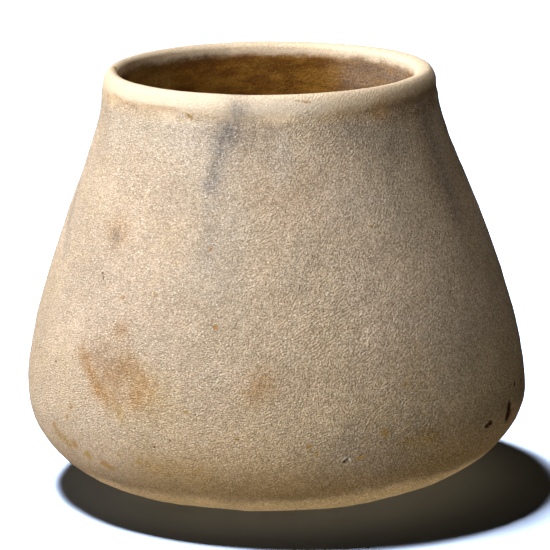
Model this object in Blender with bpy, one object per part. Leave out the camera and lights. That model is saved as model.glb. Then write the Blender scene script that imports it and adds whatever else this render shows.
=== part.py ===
"""Alabaster jar: a squat stone vessel with a low, wide belly and a rolled rim.

The jar is one carved stone. Its wall is a closed profile turned about +Z: from the flat
foot round the belly, up the flank, over the rim and down the hollow to the inner floor.
The stone is ground by hand, so the belly leans a little to +X over the foot and the hollow
is bored a little off centre to -X. All sizes are in metres.
"""
import math

import bmesh
import bpy
from mathutils import Vector
from mathutils.geometry import interpolate_bezier

# Outside
HEIGHT = 0.1048
BELLY_RADIUS = 0.0625
BELLY_HEIGHT = 0.0252
FOOT_RADIUS = 0.0260

# Rim
MOUTH_RADIUS = 0.0370
RIM_WALL = 0.0048
RIM_HEIGHT = 0.0060
RIM_FLARE = math.radians(5.8)
GROOVE_DEPTH = 0.0003
GROOVE_WIDTH = 0.0024

# Hollow
WALL = 0.0070
FLOOR = 0.0100
INNER_FLOOR_RADIUS = 0.0200

# Hand-ground unevenness
BELLY_LEAN = 0.0011
HOLLOW_SHIFT = -0.0008

# Fullness of each curve: how far its handles reach, as a share of the step they cross
UNDERSIDE_FLAT = 0.46
UNDERSIDE_ROUND = 0.65
BELLY_ROUND = 0.32
NECK_ROUND = 0.19
RIM_ROUND = 0.55
LIP_CREST = 0.48
LIP_DROP = 0.25
HOLLOW_NECK = 0.28
HOLLOW_BELLY = 0.34
HOLLOW_BOTTOM = 0.60

# Facets of the solid
TURN_STEPS = 72
FLANK_CURVE_STEPS = 12
BOTTOM_CURVE_STEPS = 8
RIM_CURVE_STEPS = 6
LIP_CURVE_STEPS = 4

STONE_COLOUR = (0.56, 0.42, 0.29, 1.0)
STONE_ROUGHNESS = 0.42


def clear_scene():
    """Remove every object that the file starts with."""
    for old in list(bpy.data.objects):
        bpy.data.objects.remove(old, do_unlink=True)


def stone_material():
    """Warm, softly polished alabaster."""
    material = bpy.data.materials.new("alabaster")
    material.use_nodes = True
    shader = material.node_tree.nodes["Principled BSDF"]
    shader.inputs["Base Color"].default_value = STONE_COLOUR
    shader.inputs["Roughness"].default_value = STONE_ROUGHNESS
    shader.inputs["Metallic"].default_value = 0.0
    return material


def flat_point(radius, height):
    """A profile point: its radius along X and its height along Z."""
    return Vector((radius, 0.0, height))


def curve(start, start_pull, end, end_pull, steps):
    """Points of one cubic curve from start up to, but not with, its end."""
    points = interpolate_bezier(start, start + start_pull, end + end_pull, end, steps + 1)
    return points[:-1]


def rim_direction():
    """Unit step up the outer face of the rim, which leans inwards as it rises."""
    return Vector((-math.sin(RIM_FLARE), 0.0, math.cos(RIM_FLARE)))


def collar_point(up, depth=0.0):
    """Point on the rim's outer face: its way up from the groove, and how deep it is cut."""
    face = flat_point(MOUTH_RADIUS + RIM_WALL, HEIGHT - RIM_HEIGHT)
    inwards = Vector((-math.cos(RIM_FLARE), 0.0, -math.sin(RIM_FLARE)))
    return face + rim_direction() * up + inwards * depth


def outer_profile():
    """Foot, underside, belly and flank, up to the lower edge of the groove."""
    foot = flat_point(FOOT_RADIUS, 0.0)
    belly = flat_point(BELLY_RADIUS, BELLY_HEIGHT)
    neck = collar_point(-GROOVE_WIDTH / 2)
    rise = neck.z - belly.z
    underside_flat = Vector((UNDERSIDE_FLAT * (BELLY_RADIUS - FOOT_RADIUS), 0.0, 0.0))
    underside_round = Vector((0.0, 0.0, -UNDERSIDE_ROUND * BELLY_HEIGHT))
    belly_round = Vector((0.0, 0.0, BELLY_ROUND * rise))
    neck_round = rim_direction() * -NECK_ROUND * rise
    return (
        curve(foot, underside_flat, belly, underside_round, BOTTOM_CURVE_STEPS)
        + curve(belly, belly_round, neck, neck_round, FLANK_CURVE_STEPS)
        + [neck]
    )


def lip_crest():
    """Highest point of the rim."""
    return flat_point(MOUTH_RADIUS + LIP_CREST * RIM_WALL, HEIGHT)


def rim_profile():
    """From the bottom of the groove, up the rim's outer face to its crest."""
    start = collar_point(GROOVE_WIDTH / 2)
    crest = lip_crest()
    up = rim_direction() * RIM_ROUND * (crest.z - start.z)
    out = Vector((RIM_ROUND * (start.x - crest.x), 0.0, 0.0))
    return [collar_point(0.0, GROOVE_DEPTH)] + curve(start, up, crest, out, RIM_CURVE_STEPS)


def lip_profile():
    """From the crest, over the inner edge to the narrowest place of the mouth."""
    crest = lip_crest()
    mouth = flat_point(MOUTH_RADIUS, HEIGHT - LIP_DROP * RIM_HEIGHT)
    over = Vector((RIM_ROUND * (mouth.x - crest.x), 0.0, 0.0))
    down = Vector((0.0, 0.0, RIM_ROUND * (crest.z - mouth.z)))
    return curve(crest, over, mouth, down, LIP_CURVE_STEPS)


def hollow_profile():
    """From the mouth down the hollow, which widens at once, to the inner floor."""
    mouth = flat_point(MOUTH_RADIUS, HEIGHT - LIP_DROP * RIM_HEIGHT)
    belly = flat_point(BELLY_RADIUS - WALL, BELLY_HEIGHT + FLOOR - WALL)
    floor = flat_point(INNER_FLOOR_RADIUS, FLOOR)
    drop = mouth.z - belly.z
    neck = Vector((0.0, 0.0, -HOLLOW_NECK * drop))
    full = Vector((0.0, 0.0, HOLLOW_BELLY * drop))
    below = Vector((0.0, 0.0, -HOLLOW_BOTTOM * (belly.z - floor.z)))
    inwards = Vector((HOLLOW_BOTTOM * (belly.x - floor.x), 0.0, 0.0))
    return (
        curve(mouth, neck, belly, full, FLANK_CURVE_STEPS)
        + curve(belly, below, floor, inwards, BOTTOM_CURVE_STEPS)
        + [floor]
    )


def lean(height):
    """Sideways step of the stone at a height: none at foot and rim, full at the belly."""
    if height >= BELLY_HEIGHT:
        return BELLY_LEAN * (HEIGHT - height) / (HEIGHT - BELLY_HEIGHT)
    rise = height / BELLY_HEIGHT
    return BELLY_LEAN * rise * rise * (3.0 - 2.0 * rise)


def jar_stations():
    """Every point of the closed profile, each with its own sideways step."""
    outside = outer_profile() + rim_profile()
    lip = lip_profile()
    hollow = hollow_profile()
    stations = [(point, lean(point.z)) for point in outside]
    for index, point in enumerate(lip):
        stations.append((point, lean(point.z) + HOLLOW_SHIFT * index / len(lip)))
    stations += [(point, lean(point.z) + HOLLOW_SHIFT) for point in hollow]
    return stations


def turned_mesh(name, stations):
    """Turn the profile about +Z, close foot and inner floor, then step each ring sideways."""
    work = bmesh.new()
    aside = work.verts.layers.float.new("aside")
    profile = []
    for point, step in stations:
        vertex = work.verts.new(point)
        vertex[aside] = step
        profile.append(vertex)
    edges = [work.edges.new(pair) for pair in zip(profile, profile[1:])]
    bmesh.ops.spin(
        work, geom=profile + edges, axis=(0.0, 0.0, 1.0), cent=(0.0, 0.0, 0.0),
        angle=math.tau, steps=TURN_STEPS, use_merge=True,
    )
    bmesh.ops.holes_fill(work, edges=work.edges[:], sides=0)
    bmesh.ops.recalc_face_normals(work, faces=work.faces[:])
    for vertex in work.verts:
        vertex.co.x += vertex[aside]
    mesh = bpy.data.meshes.new(name)
    work.to_mesh(mesh)
    work.free()
    return mesh


def build_jar():
    """The jar: one solid of stone, hollow and open at the top."""
    mesh = turned_mesh("jar", jar_stations())
    mesh.materials.append(stone_material())
    mesh.shade_smooth()
    jar = bpy.data.objects.new("jar", mesh)
    bpy.context.scene.collection.objects.link(jar)
    return jar


clear_scene()
build_jar()
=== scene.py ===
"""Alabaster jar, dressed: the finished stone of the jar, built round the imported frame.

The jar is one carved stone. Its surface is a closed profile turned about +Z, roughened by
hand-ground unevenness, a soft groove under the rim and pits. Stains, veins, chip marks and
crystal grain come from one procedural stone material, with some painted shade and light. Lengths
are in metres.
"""
import logging
import math
from dataclasses import dataclass, field
from enum import Enum, IntEnum

import bpy
import numpy as np
from mathutils import Matrix, Vector


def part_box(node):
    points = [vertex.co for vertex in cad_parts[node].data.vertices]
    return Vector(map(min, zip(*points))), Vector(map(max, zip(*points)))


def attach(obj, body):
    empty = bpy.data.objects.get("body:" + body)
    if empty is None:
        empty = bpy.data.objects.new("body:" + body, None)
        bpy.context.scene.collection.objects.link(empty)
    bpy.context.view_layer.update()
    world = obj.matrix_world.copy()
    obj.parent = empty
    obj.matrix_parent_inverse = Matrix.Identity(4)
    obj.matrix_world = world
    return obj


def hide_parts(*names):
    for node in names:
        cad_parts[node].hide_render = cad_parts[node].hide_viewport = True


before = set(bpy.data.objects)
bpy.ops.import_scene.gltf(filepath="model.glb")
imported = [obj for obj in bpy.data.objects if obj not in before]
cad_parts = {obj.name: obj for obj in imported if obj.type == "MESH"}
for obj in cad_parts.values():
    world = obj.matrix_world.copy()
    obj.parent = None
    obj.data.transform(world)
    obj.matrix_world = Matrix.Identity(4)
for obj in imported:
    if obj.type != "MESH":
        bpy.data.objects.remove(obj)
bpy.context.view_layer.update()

NODE = "jar"
BODY = "root"
SLOT = "alabaster"
MM = 0.001
WAVE_SPREAD = (0.75, 1.35)
TINY = 1e-12

Array = np.ndarray
Pixel = tuple[float, float]
Span = tuple[float, float]
Triple = tuple[float, float, float]
Colour = tuple[float, float, float, float]
Socket = bpy.types.NodeSocket

log = logging.getLogger("alabaster_jar")


def smooth(value: Array, low: float, high: float) -> Array:
    """Smooth step: 0 up to low, 1 from high on, and 3t^2 - 2t^3 between them.

    Args:
        value: any array.
        low: where the rise starts.
        high: where it ends.

    Returns:
        An array of the same shape, from 0 to 1.
    """
    share = np.clip((value - low) / (high - low), 0.0, 1.0)
    return share * share * (3.0 - 2.0 * share)


def ripples(points: Array, wavelength: float, seed: int, waves: int = 28) -> Array:
    """Smooth random field: a sum of sine waves that run in random directions.

    Each wave is sin(2 pi d.p / w + phase), with d a random unit direction and w near the
    wavelength. The sum is divided by the square root of half the number of waves, so its
    spread is about 1.

    Args:
        points: places, with X, Y, Z on the last axis.
        wavelength: the typical distance from crest to crest.
        seed: sets the directions, lengths and phases.
        waves: how many waves are added.

    Returns:
        The field at each point, with the points' shape less its last axis.
    """
    draw = np.random.default_rng(seed)
    aim = draw.normal(size=(waves, 3))
    aim /= np.linalg.norm(aim, axis=1, keepdims=True)
    lengths = wavelength * draw.uniform(*WAVE_SPREAD, waves)
    phases = draw.uniform(0.0, math.tau, waves)
    total = np.zeros(points.shape[:-1])
    for direction, length, phase in zip(aim, lengths, phases):
        total += np.sin(points @ direction * (math.tau / length) + phase)
    return total / math.sqrt(waves / 2)


@dataclass(frozen=True)
class PhotoCamera:
    """The photograph's camera, which looks along +Y and down at the rim.

    Its pixel frame is 550 wide and high. A pixel's ray is forward + right x/f - up y/f.
    """

    frame_px: float = 550.0
    focal_px: float = 4087.0
    centre_px: float = 271.6
    distance: float = 1.0
    rim_elevation: float = math.radians(10.08)
    pitch: float = math.radians(12.985)
    roll: float = math.radians(0.57)
    rim_height: float = 0.1048
    sensor: float = 36.0
    clip: Span = (0.05, 20.0)

    @property
    def place(self) -> Array:
        """The camera's place."""
        rise = self.distance * math.tan(self.rim_elevation)
        return np.array([0.0, -self.distance, self.rim_height + rise])

    @property
    def axes(self) -> tuple[Array, Array, Array]:
        """Unit vectors to the picture's right, to its top and into it.

        Returns:
            The three vectors.
        """
        level = np.array([1.0, 0.0, 0.0])
        top = np.array([0.0, math.sin(self.pitch), math.cos(self.pitch)])
        into = np.array([0.0, math.cos(self.pitch), -math.sin(self.pitch)])
        cos, sin = math.cos(self.roll), math.sin(self.roll)
        return cos * level - sin * top, sin * level + cos * top, into

    def ray(self, pixel: Pixel) -> Array:
        """Direction of the ray through a pixel.

        Args:
            pixel: a place in the photograph.

        Returns:
            The direction, one long into the picture.
        """
        right, up, into = self.axes
        across = (pixel[0] - self.centre_px) / self.focal_px
        down = (pixel[1] - self.frame_px / 2) / self.focal_px
        return into + right * across - up * down

    def build(self) -> bpy.types.Object:
        """Make the scene's camera.

        Returns:
            The camera object.
        """
        data = bpy.data.cameras.new("camera")
        data.sensor_width = self.sensor
        data.lens = self.focal_px / self.frame_px * self.sensor
        data.shift_x = (self.frame_px / 2 - self.centre_px) / self.frame_px
        data.clip_start, data.clip_end = self.clip
        camera = bpy.data.objects.new("camera", data)
        right, up, into = self.axes
        turn = Matrix((right, up, -into)).transposed()
        camera.matrix_world = Matrix.Translation(Vector(self.place)) @ turn.to_4x4()
        bpy.context.scene.collection.objects.link(camera)
        bpy.context.scene.camera = camera
        return camera


@dataclass(frozen=True)
class Stretch:
    """One stretch of the profile: a cubic from start to end, or a line with no pulls."""

    start: Span
    start_pull: Span
    end: Span
    end_pull: Span
    spacing: float
    samples: int = 600

    def points(self) -> Array:
        """Points at even steps along the stretch, without its end.

        The cubic is (1-t)^3 a + 3(1-t)^2 t b + 3(1-t) t^2 c + t^3 d, where b and c are the
        ends plus their pulls. It is read at equal lengths.

        Returns:
            Radius and height of each point, as rows.
        """
        a, d = np.array(self.start), np.array(self.end)
        b, c = a + np.array(self.start_pull), d + np.array(self.end_pull)
        t = np.linspace(0.0, 1.0, self.samples)[:, None]
        line = (1 - t) ** 3 * a + 3 * (1 - t) ** 2 * t * b + 3 * (1 - t) * t * t * c + t**3 * d
        steps = np.linalg.norm(np.diff(line, axis=0), axis=1)
        run = np.concatenate([[0.0], np.cumsum(steps)])
        count = max(2, round(run[-1] / self.spacing))
        at = np.linspace(0.0, run[-1], count + 1)[:-1]
        return np.stack([np.interp(at, run, line[:, 0]), np.interp(at, run, line[:, 1])], 1)


@dataclass(frozen=True)
class JarShape:
    """Sizes of the jar and the closed profile that is turned about +Z.

    The sizes are those of the solid. The height and belly are read from the frame.
    """

    height: float
    belly_radius: float
    belly_height: float = 25.2 * MM
    foot_radius: float = 26.0 * MM
    mouth_radius: float = 37.0 * MM
    rim_wall: float = 4.8 * MM
    rim_height: float = 6.0 * MM
    rim_flare: float = math.radians(5.8)
    groove_width: float = 2.4 * MM
    wall: float = 7.0 * MM
    floor: float = 10.0 * MM
    inner_floor_radius: float = 20.0 * MM
    belly_lean: float = 1.1 * MM
    hollow_shift: float = -0.8 * MM
    underside_flat: float = 0.46
    underside_round: float = 0.65
    belly_round: float = 0.32
    neck_round: float = 0.19
    rim_round: float = 0.55
    lip_crest: float = 0.48
    lip_drop: float = 0.25
    hollow_neck: float = 0.28
    hollow_belly: float = 0.34
    hollow_bottom: float = 0.60
    disc_spacing: float = 5.0 * MM
    underside_spacing: float = 1.15 * MM
    flank_spacing: float = 0.72 * MM
    rim_spacing: float = 0.38 * MM
    lip_spacing: float = 0.28 * MM
    hollow_spacing: float = 1.7 * MM
    bottom_spacing: float = 2.4 * MM

    def collar_point(self, up: float) -> Span:
        """Radius and height on the rim's outer face, a way up from the groove."""
        radius = self.mouth_radius + self.rim_wall - math.sin(self.rim_flare) * up
        return radius, self.height - self.rim_height + math.cos(self.rim_flare) * up

    def stretches(self) -> dict[str, Stretch]:
        """The profile's stretches in order, from the foot's centre to the inner floor's.

        Returns:
            Each stretch by name.
        """
        foot = (self.foot_radius, 0.0)
        belly = (self.belly_radius, self.belly_height)
        neck = self.collar_point(-self.groove_width / 2)
        shoulder = self.collar_point(self.groove_width / 2)
        crest = (self.mouth_radius + self.lip_crest * self.rim_wall, self.height)
        mouth = (self.mouth_radius, self.height - self.lip_drop * self.rim_height)
        inner = (self.belly_radius - self.wall, self.belly_height + self.floor - self.wall)
        floor = (self.inner_floor_radius, self.floor)
        rise, drop = neck[1] - belly[1], mouth[1] - inner[1]
        lean = (-math.sin(self.rim_flare), math.cos(self.rim_flare))
        neck_pull = tuple(-self.neck_round * rise * part for part in lean)
        rim_pull = tuple(self.rim_round * (crest[1] - shoulder[1]) * part for part in lean)
        none = (0.0, 0.0)
        return {
            "foot": Stretch(none, none, foot, none, self.disc_spacing),
            "underside": Stretch(
                foot, (self.underside_flat * (belly[0] - foot[0]), 0.0),
                belly, (0.0, -self.underside_round * belly[1]), self.underside_spacing,
            ),
            "flank": Stretch(
                belly, (0.0, self.belly_round * rise), neck, neck_pull, self.flank_spacing
            ),
            "groove": Stretch(neck, none, shoulder, none, self.rim_spacing),
            "rim": Stretch(
                shoulder, rim_pull,
                crest, (self.rim_round * (shoulder[0] - crest[0]), 0.0), self.rim_spacing,
            ),
            "lip": Stretch(
                crest, (self.rim_round * (mouth[0] - crest[0]), 0.0),
                mouth, (0.0, self.rim_round * (crest[1] - mouth[1])), self.lip_spacing,
            ),
            "hollow": Stretch(
                mouth, (0.0, -self.hollow_neck * drop),
                inner, (0.0, self.hollow_belly * drop), self.hollow_spacing,
            ),
            "bottom": Stretch(
                inner, (0.0, -self.hollow_bottom * (inner[1] - floor[1])),
                floor, (self.hollow_bottom * (inner[0] - floor[0]), 0.0), self.bottom_spacing,
            ),
            "inner floor": Stretch(floor, none, (0.0, self.floor), none, self.disc_spacing),
        }

    def lean(self, height: Array) -> Array:
        """Sideways step of the stone: none at foot and rim, full at the belly.

        Args:
            height: heights on the jar.

        Returns:
            The step along X at each height.
        """
        above = (self.height - height) / (self.height - self.belly_height)
        below = smooth(height, 0.0, self.belly_height)
        return self.belly_lean * np.where(height >= self.belly_height, above, below)


@dataclass(frozen=True)
class Profile:
    """The profile at every ring: radius, height, outward normal and where it is.

    Inside is 0 on the outer side, rises over the lip and is 1 in the hollow. Depth is the
    way along the profile past the lip.
    """

    radius: Array
    height: Array
    out_radius: Array
    out_height: Array
    aside: Array
    inside: Array
    run_from_groove: Array
    depth: Array

    @classmethod
    def of(cls, shape: JarShape) -> "Profile":
        """Read the profile from a shape.

        The outward normal is the profile's direction turned by a quarter: (dz, -dr).

        Args:
            shape: the jar's sizes.

        Returns:
            The profile, one entry for each ring, without the two poles.
        """
        stretches = shape.stretches()
        parts = [stretch.points() for stretch in stretches.values()]
        names = np.repeat(list(stretches), [len(part) for part in parts])
        line = np.concatenate(parts)[1:]
        names = names[1:]
        ends = np.vstack([[0.0, 0.0], line, [0.0, shape.floor]])
        tangent = ends[2:] - ends[:-2]
        tangent /= np.linalg.norm(tangent, axis=1, keepdims=True)
        run = np.concatenate([[0.0], np.cumsum(np.linalg.norm(np.diff(line, axis=0), axis=1))])
        groove = run[names == "groove"].mean()
        lip = names == "lip"
        inside = np.isin(names, ("hollow", "bottom", "inner floor")).astype(float)
        inside[lip] = np.linspace(0.0, 1.0, lip.sum(), endpoint=False)
        aside = shape.lean(line[:, 1]) + shape.hollow_shift * inside
        depth = run - run[names == "lip"][-1]
        radius, height = line.T
        return cls(
            radius, height, tangent[:, 1], -tangent[:, 0], aside, inside, run - groove, depth
        )


class Seed(IntEnum):
    """Seed of each random field of the surface."""

    BROAD = 1
    GROUND = 2
    RUBBED = 3
    GRITTY = 4
    GROOVE = 5
    GROOVE_CHANGE = 6
    RIM = 8


class Tint(Enum):
    """What colour a mark lays on the stone: a stain for most marks, painted shade or light for a
    few.
    """

    RUST = "rust"
    OCHRE = "ochre"
    GREY = "grey"
    PALE = "pale"
    DARK = "dark"


@dataclass(frozen=True)
class Blotch:
    """A soft mark over a few millimetres of stone, along a path of photo pixels."""

    name: str
    path: tuple[Pixel, ...]
    radius: float
    strength: float
    inside: bool = False


@dataclass(frozen=True)
class Fleck:
    """A mark of about a millimetre, from one photo pixel to another."""

    name: str
    start: Pixel
    radius: float
    end: Pixel | None = None
    depth: float = 0.0


@dataclass(frozen=True)
class Pit:
    """A hole in the stone, from one photo pixel to another."""

    name: str
    start: Pixel
    end: Pixel
    radius: float
    depth: float


# Soft marks, with radii in millimetres; a few paint shade or light, as their comments say
BLOTCHES: dict[Tint, tuple[Blotch, ...]] = {
    Tint.RUST: (
        Blotch("ring stain", ((117, 232),), 3.8, 0.55),
        Blotch("stain, top", ((121, 331),), 2.6, 0.60),
        Blotch("stain, broad", ((100, 356), (114, 376)), 5.6, 0.44),
        Blotch("stain, left", ((86, 360), (92, 375), (98, 390)), 2.0, 0.62),
        Blotch("stain, foot", ((100, 392), (111, 402)), 2.0, 0.62),
        Blotch("stain, heart", ((123, 362), (112, 374)), 2.6, 0.52),
        Blotch("stain, right", ((136, 376), (143, 388), (136, 401)), 3.0, 0.52),
        Blotch("stain, edge", ((82, 352),), 2.6, 0.35),
        Blotch("middle stain", ((263, 384),), 3.6, 0.46),
        Blotch("middle stain, foot", ((251, 396),), 2.6, 0.34),
        Blotch("rosy patch", ((262, 191),), 5.0, 0.16),
        Blotch("rosy patch, right", ((304, 189),), 5.0, 0.14),
        Blotch("rust in the long pit", ((511, 414), (510, 420)), 1.3, 0.70),
        # brown under the rim towards the right: partly brown grime, partly painted shade under the
        # rim on the side away from the lamps
        Blotch("brown and shade under the rim", ((326, 116), (368, 113)), 2.2, 0.26),
        Blotch("brown and shade under the rim, right", ((382, 111), (402, 107), (432, 98)), 3.0, 0.80),
        # painted brown shade along the upper right edge, the side away from the lamps
        Blotch("painted brown shade, upper right edge", ((424, 118), (432, 150), (452, 205)), 5.0, 0.26),
        Blotch("rusty line under the rim",
               ((114, 95), (126, 103), (149, 107), (176, 110)), 0.55, 0.34),
    ),
    Tint.OCHRE: (
        Blotch("stain, olive", ((128, 366), (150, 400)), 4.5, 0.30),
        Blotch("stain, run", ((118, 409), (120, 418)), 1.4, 0.60),
        Blotch("low yellow, left", ((56, 432), (69, 443)), 1.4, 0.80),
        Blotch("low yellow", ((150, 466), (205, 474)), 3.5, 0.32),
        Blotch("low yellow, right", ((408, 443), (433, 437)), 2.2, 0.74),
        Blotch("orange inside, left", ((130, 75), (165, 82)), 3.0, 0.45, True),
    ),
    Tint.GREY: (
        Blotch("vein at the rim", ((239, 99), (238, 106)), 2.2, 0.22),
        Blotch("vein, darkest part", ((238, 111), (232, 124), (227, 135)), 3.4, 0.46),
        Blotch("vein below", ((227, 137), (216, 163), (211, 184)), 2.6, 0.50),
        Blotch("vein's tail", ((211, 190), (206, 260)), 2.6, 0.25),
        Blotch("grey beside the vein", ((243, 132), (236, 190), (222, 300)), 6.0, 0.08),
        Blotch("cloud under the rim", ((352, 128), (392, 144)), 6.0, 0.30),
        Blotch("streak at the left", ((78, 188), (70, 216), (66, 251)), 2.2, 0.30),
        Blotch("ring stain's heart", ((116, 236),), 1.9, 0.42),
        Blotch("stain, grey middle", ((98, 352), (114, 366)), 4.2, 0.16),
        Blotch("duller, left", ((100, 268), (116, 335)), 12.0, 0.20),
        # grey-brown under the rim at the far right: partly grime, partly painted shade under the
        # rim
        Blotch("brown and shade under the rim, far right", ((394, 111), (408, 106), (434, 97)), 2.9, 0.46),
        # painted shade on the lower right belly, away from the lamps
        Blotch("painted shade, low right", ((352, 450), (392, 458), (420, 418)), 7.5, 0.24),
        # painted shade along the right edge
        Blotch("painted shade, right edge", ((458, 380), (468, 330)), 6.5, 0.17),
        # painted shade along the upper right edge
        Blotch("painted shade, upper right edge", ((426, 122), (434, 150), (454, 210)), 5.0, 0.40),
        Blotch("duller, low", ((190, 300), (205, 395)), 11.0, 0.15),
    ),
    Tint.PALE: (
        Blotch("pale patch", ((283, 143), (280, 178)), 2.4, 0.35),
        Blotch("pale under the rim", ((118, 128), (165, 130), (205, 128)), 6.0, 0.32),
        Blotch("pale at the right", ((362, 200), (388, 215)), 8.0, 0.20),
        Blotch("pale beside the vein", ((196, 150), (230, 215), (212, 265)), 8.0, 0.24),
        Blotch("cream under the rim", ((256, 108), (322, 109)), 2.4, 0.40),
        # painted light on the lit right part of the far inner wall
        Blotch("painted light inside, right", ((356, 74), (402, 74)), 6.0, 0.18, True),
    ),
    Tint.DARK: (
        # painted shadow that the left rim casts on the far inner wall: a dark band, and a dark
        # line along its edge
        Blotch("painted shadow inside, left",
               ((128, 69), (150, 66), (180, 62), (206, 58)), 1.8, 0.42, True),
        Blotch("painted shadow line inside", ((146, 69), (185, 62), (226, 54)), 1.3, 0.42, True),
        Blotch("brown inside, right", ((358, 65), (374, 71)), 1.8, 0.20, True),
        # painted shade on the middle of the far inner wall, where the left rim keeps the lamps off
        Blotch("painted shade inside, middle", ((262, 68), (290, 66)), 4.0, 0.22, True),
    ),
}

# Small marks, with radii in millimetres
FLECKS: dict[Tint, tuple[Fleck, ...]] = {
    Tint.RUST: (
        Fleck("dot on the vein's tail", (211, 249), 0.6),
        Fleck("dot under the middle", (215, 327), 0.8),
        Fleck("red dot, left", (122.8, 298), 0.65),
        Fleck("dot, upper left", (118, 184), 0.45),
        Fleck("dot, far left", (100, 197), 0.45),
        Fleck("red dot, low left", (71, 407), 0.8),
        Fleck("red dot below it", (67, 417), 0.8),
        Fleck("red dot on the edge", (54, 425), 1.1),
        Fleck("orange dot, low left", (74.6, 443.5), 1.6),
        Fleck("orange dash", (104, 463), 1.3, (112, 468)),
        Fleck("brown scratch on the rim", (296, 101), 0.35, (310, 102.6)),
    ),
    Tint.OCHRE: (
        Fleck("ochre dot", (176, 264), 0.5),
        Fleck("ochre dot below", (155, 294), 0.5),
        Fleck("ochre dash", (184, 411), 0.5, (188, 414)),
        Fleck("ochre dot, low left", (89, 455), 1.6),
        Fleck("small ochre dot", (119, 455), 0.8),
        Fleck("ochre dot by it", (139, 463), 0.9),
        Fleck("ochre dot, low middle", (236.5, 439), 0.55),
        Fleck("ochre pair", (310, 447), 0.8),
        Fleck("ochre pair, lower", (317, 454), 0.7),
        Fleck("ochre dash by the pit", (358, 459), 0.6, (364, 457)),
        Fleck("ochre spot, right", (386, 433), 1.4),
        Fleck("ochre spot, far right", (405.8, 384), 0.8),
        Fleck("ochre dot, far right", (424.7, 415), 0.6),
        Fleck("ochre dot, upper right", (372, 226.6), 0.5),
        Fleck("smudge under the rim", (186, 114), 0.55, (192, 118)),
        Fleck("chip at the lip", (115, 67), 0.75, (118, 70)),
        Fleck("chip inside the lip", (120.6, 76), 0.5),
    ),
    Tint.GREY: (
    ),
    Tint.PALE: (
        # painted highlights on the edge of the small pit
        Fleck("painted highlight at the pit", (342.8, 460.8), 0.50, (345.6, 458.6)),
        Fleck("painted highlight at the pit, right", (349.2, 459.2), 0.45, (349.6, 460.4)),
    ),
    Tint.DARK: (
        Fleck("scratch on the rim", (264, 97.6), 0.22, (273, 97.4)),
        Fleck("dark dash", (102, 273), 0.30, (103, 279)),
        Fleck("dark dot, edge", (37, 327), 0.40),
        Fleck("dark dot, left", (56, 361), 0.40),
        Fleck("dark dot, low", (154, 447), 0.38),
        Fleck("dark dot, low right", (170, 441), 0.30),
    ),
}

# Holes in the stone, with radii and depths in millimetres
PITS = (
    Pit("long pit's tail", (510.2, 401.5), (510.0, 404), 0.60, 0.15),
    Pit("long pit at the right", (509.5, 405.5), (509.2, 411.0), 1.60, 0.22),
    Pit("long pit's foot", (508.5, 412.5), (507.4, 416.0), 2.20, 0.15),
    Pit("slanted pit", (487.0, 426.6), (491.4, 422.8), 0.90, 0.30),
    Pit("small pit", (514.4, 383.0), (514.3, 384.4), 0.75, 0.15),
    Pit("small pit on the edge", (520.8, 380.2), (520.8, 381), 0.80, 0.15),
    Pit("bright-edged pit", (344.5, 462.0), (347.5, 460.0), 0.50, 0.4),
)


@dataclass(frozen=True)
class Relief:
    """Heights of the surface's unevenness, each with its wavelength, and where it fades."""

    broad: float = 0.12 * MM
    broad_wave: float = 46.0 * MM
    ground: float = 0.055 * MM
    ground_wave: float = 15.0 * MM
    rubbed: float = 0.022 * MM
    rubbed_wave: float = 5.0 * MM
    gritty: float = 0.012 * MM
    gritty_wave: float = 2.2 * MM
    foot_fade: Span = (0.0, 2.0 * MM)
    rim_calm: float = 0.35
    rim_lift: float = 0.30 * MM
    rim_lift_fade: Span = (1.0 * MM, 12.0 * MM)
    rim_edge: Span = (-0.4 * MM, 3.4 * MM)
    rim_edge_wander: float = 0.6 * MM
    rim_edge_wave: float = 7.0 * MM
    rim_inner_fade: Span = (1.5 * MM, 5.0 * MM)
    groove_rise: float = 1.5 * MM
    groove_width: float = 4.6 * MM
    groove_depth: float = 0.27 * MM
    groove_wander: float = 0.35 * MM
    groove_wander_wave: float = 60.0 * MM
    groove_change: float = 0.40
    groove_change_wave: float = 38.0 * MM
    groove_right: float = 0.35
    groove_right_fade: Span = (10.0 * MM, 38.0 * MM)
    groove_least: float = 0.1
    groove_most: float = 1.9


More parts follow.
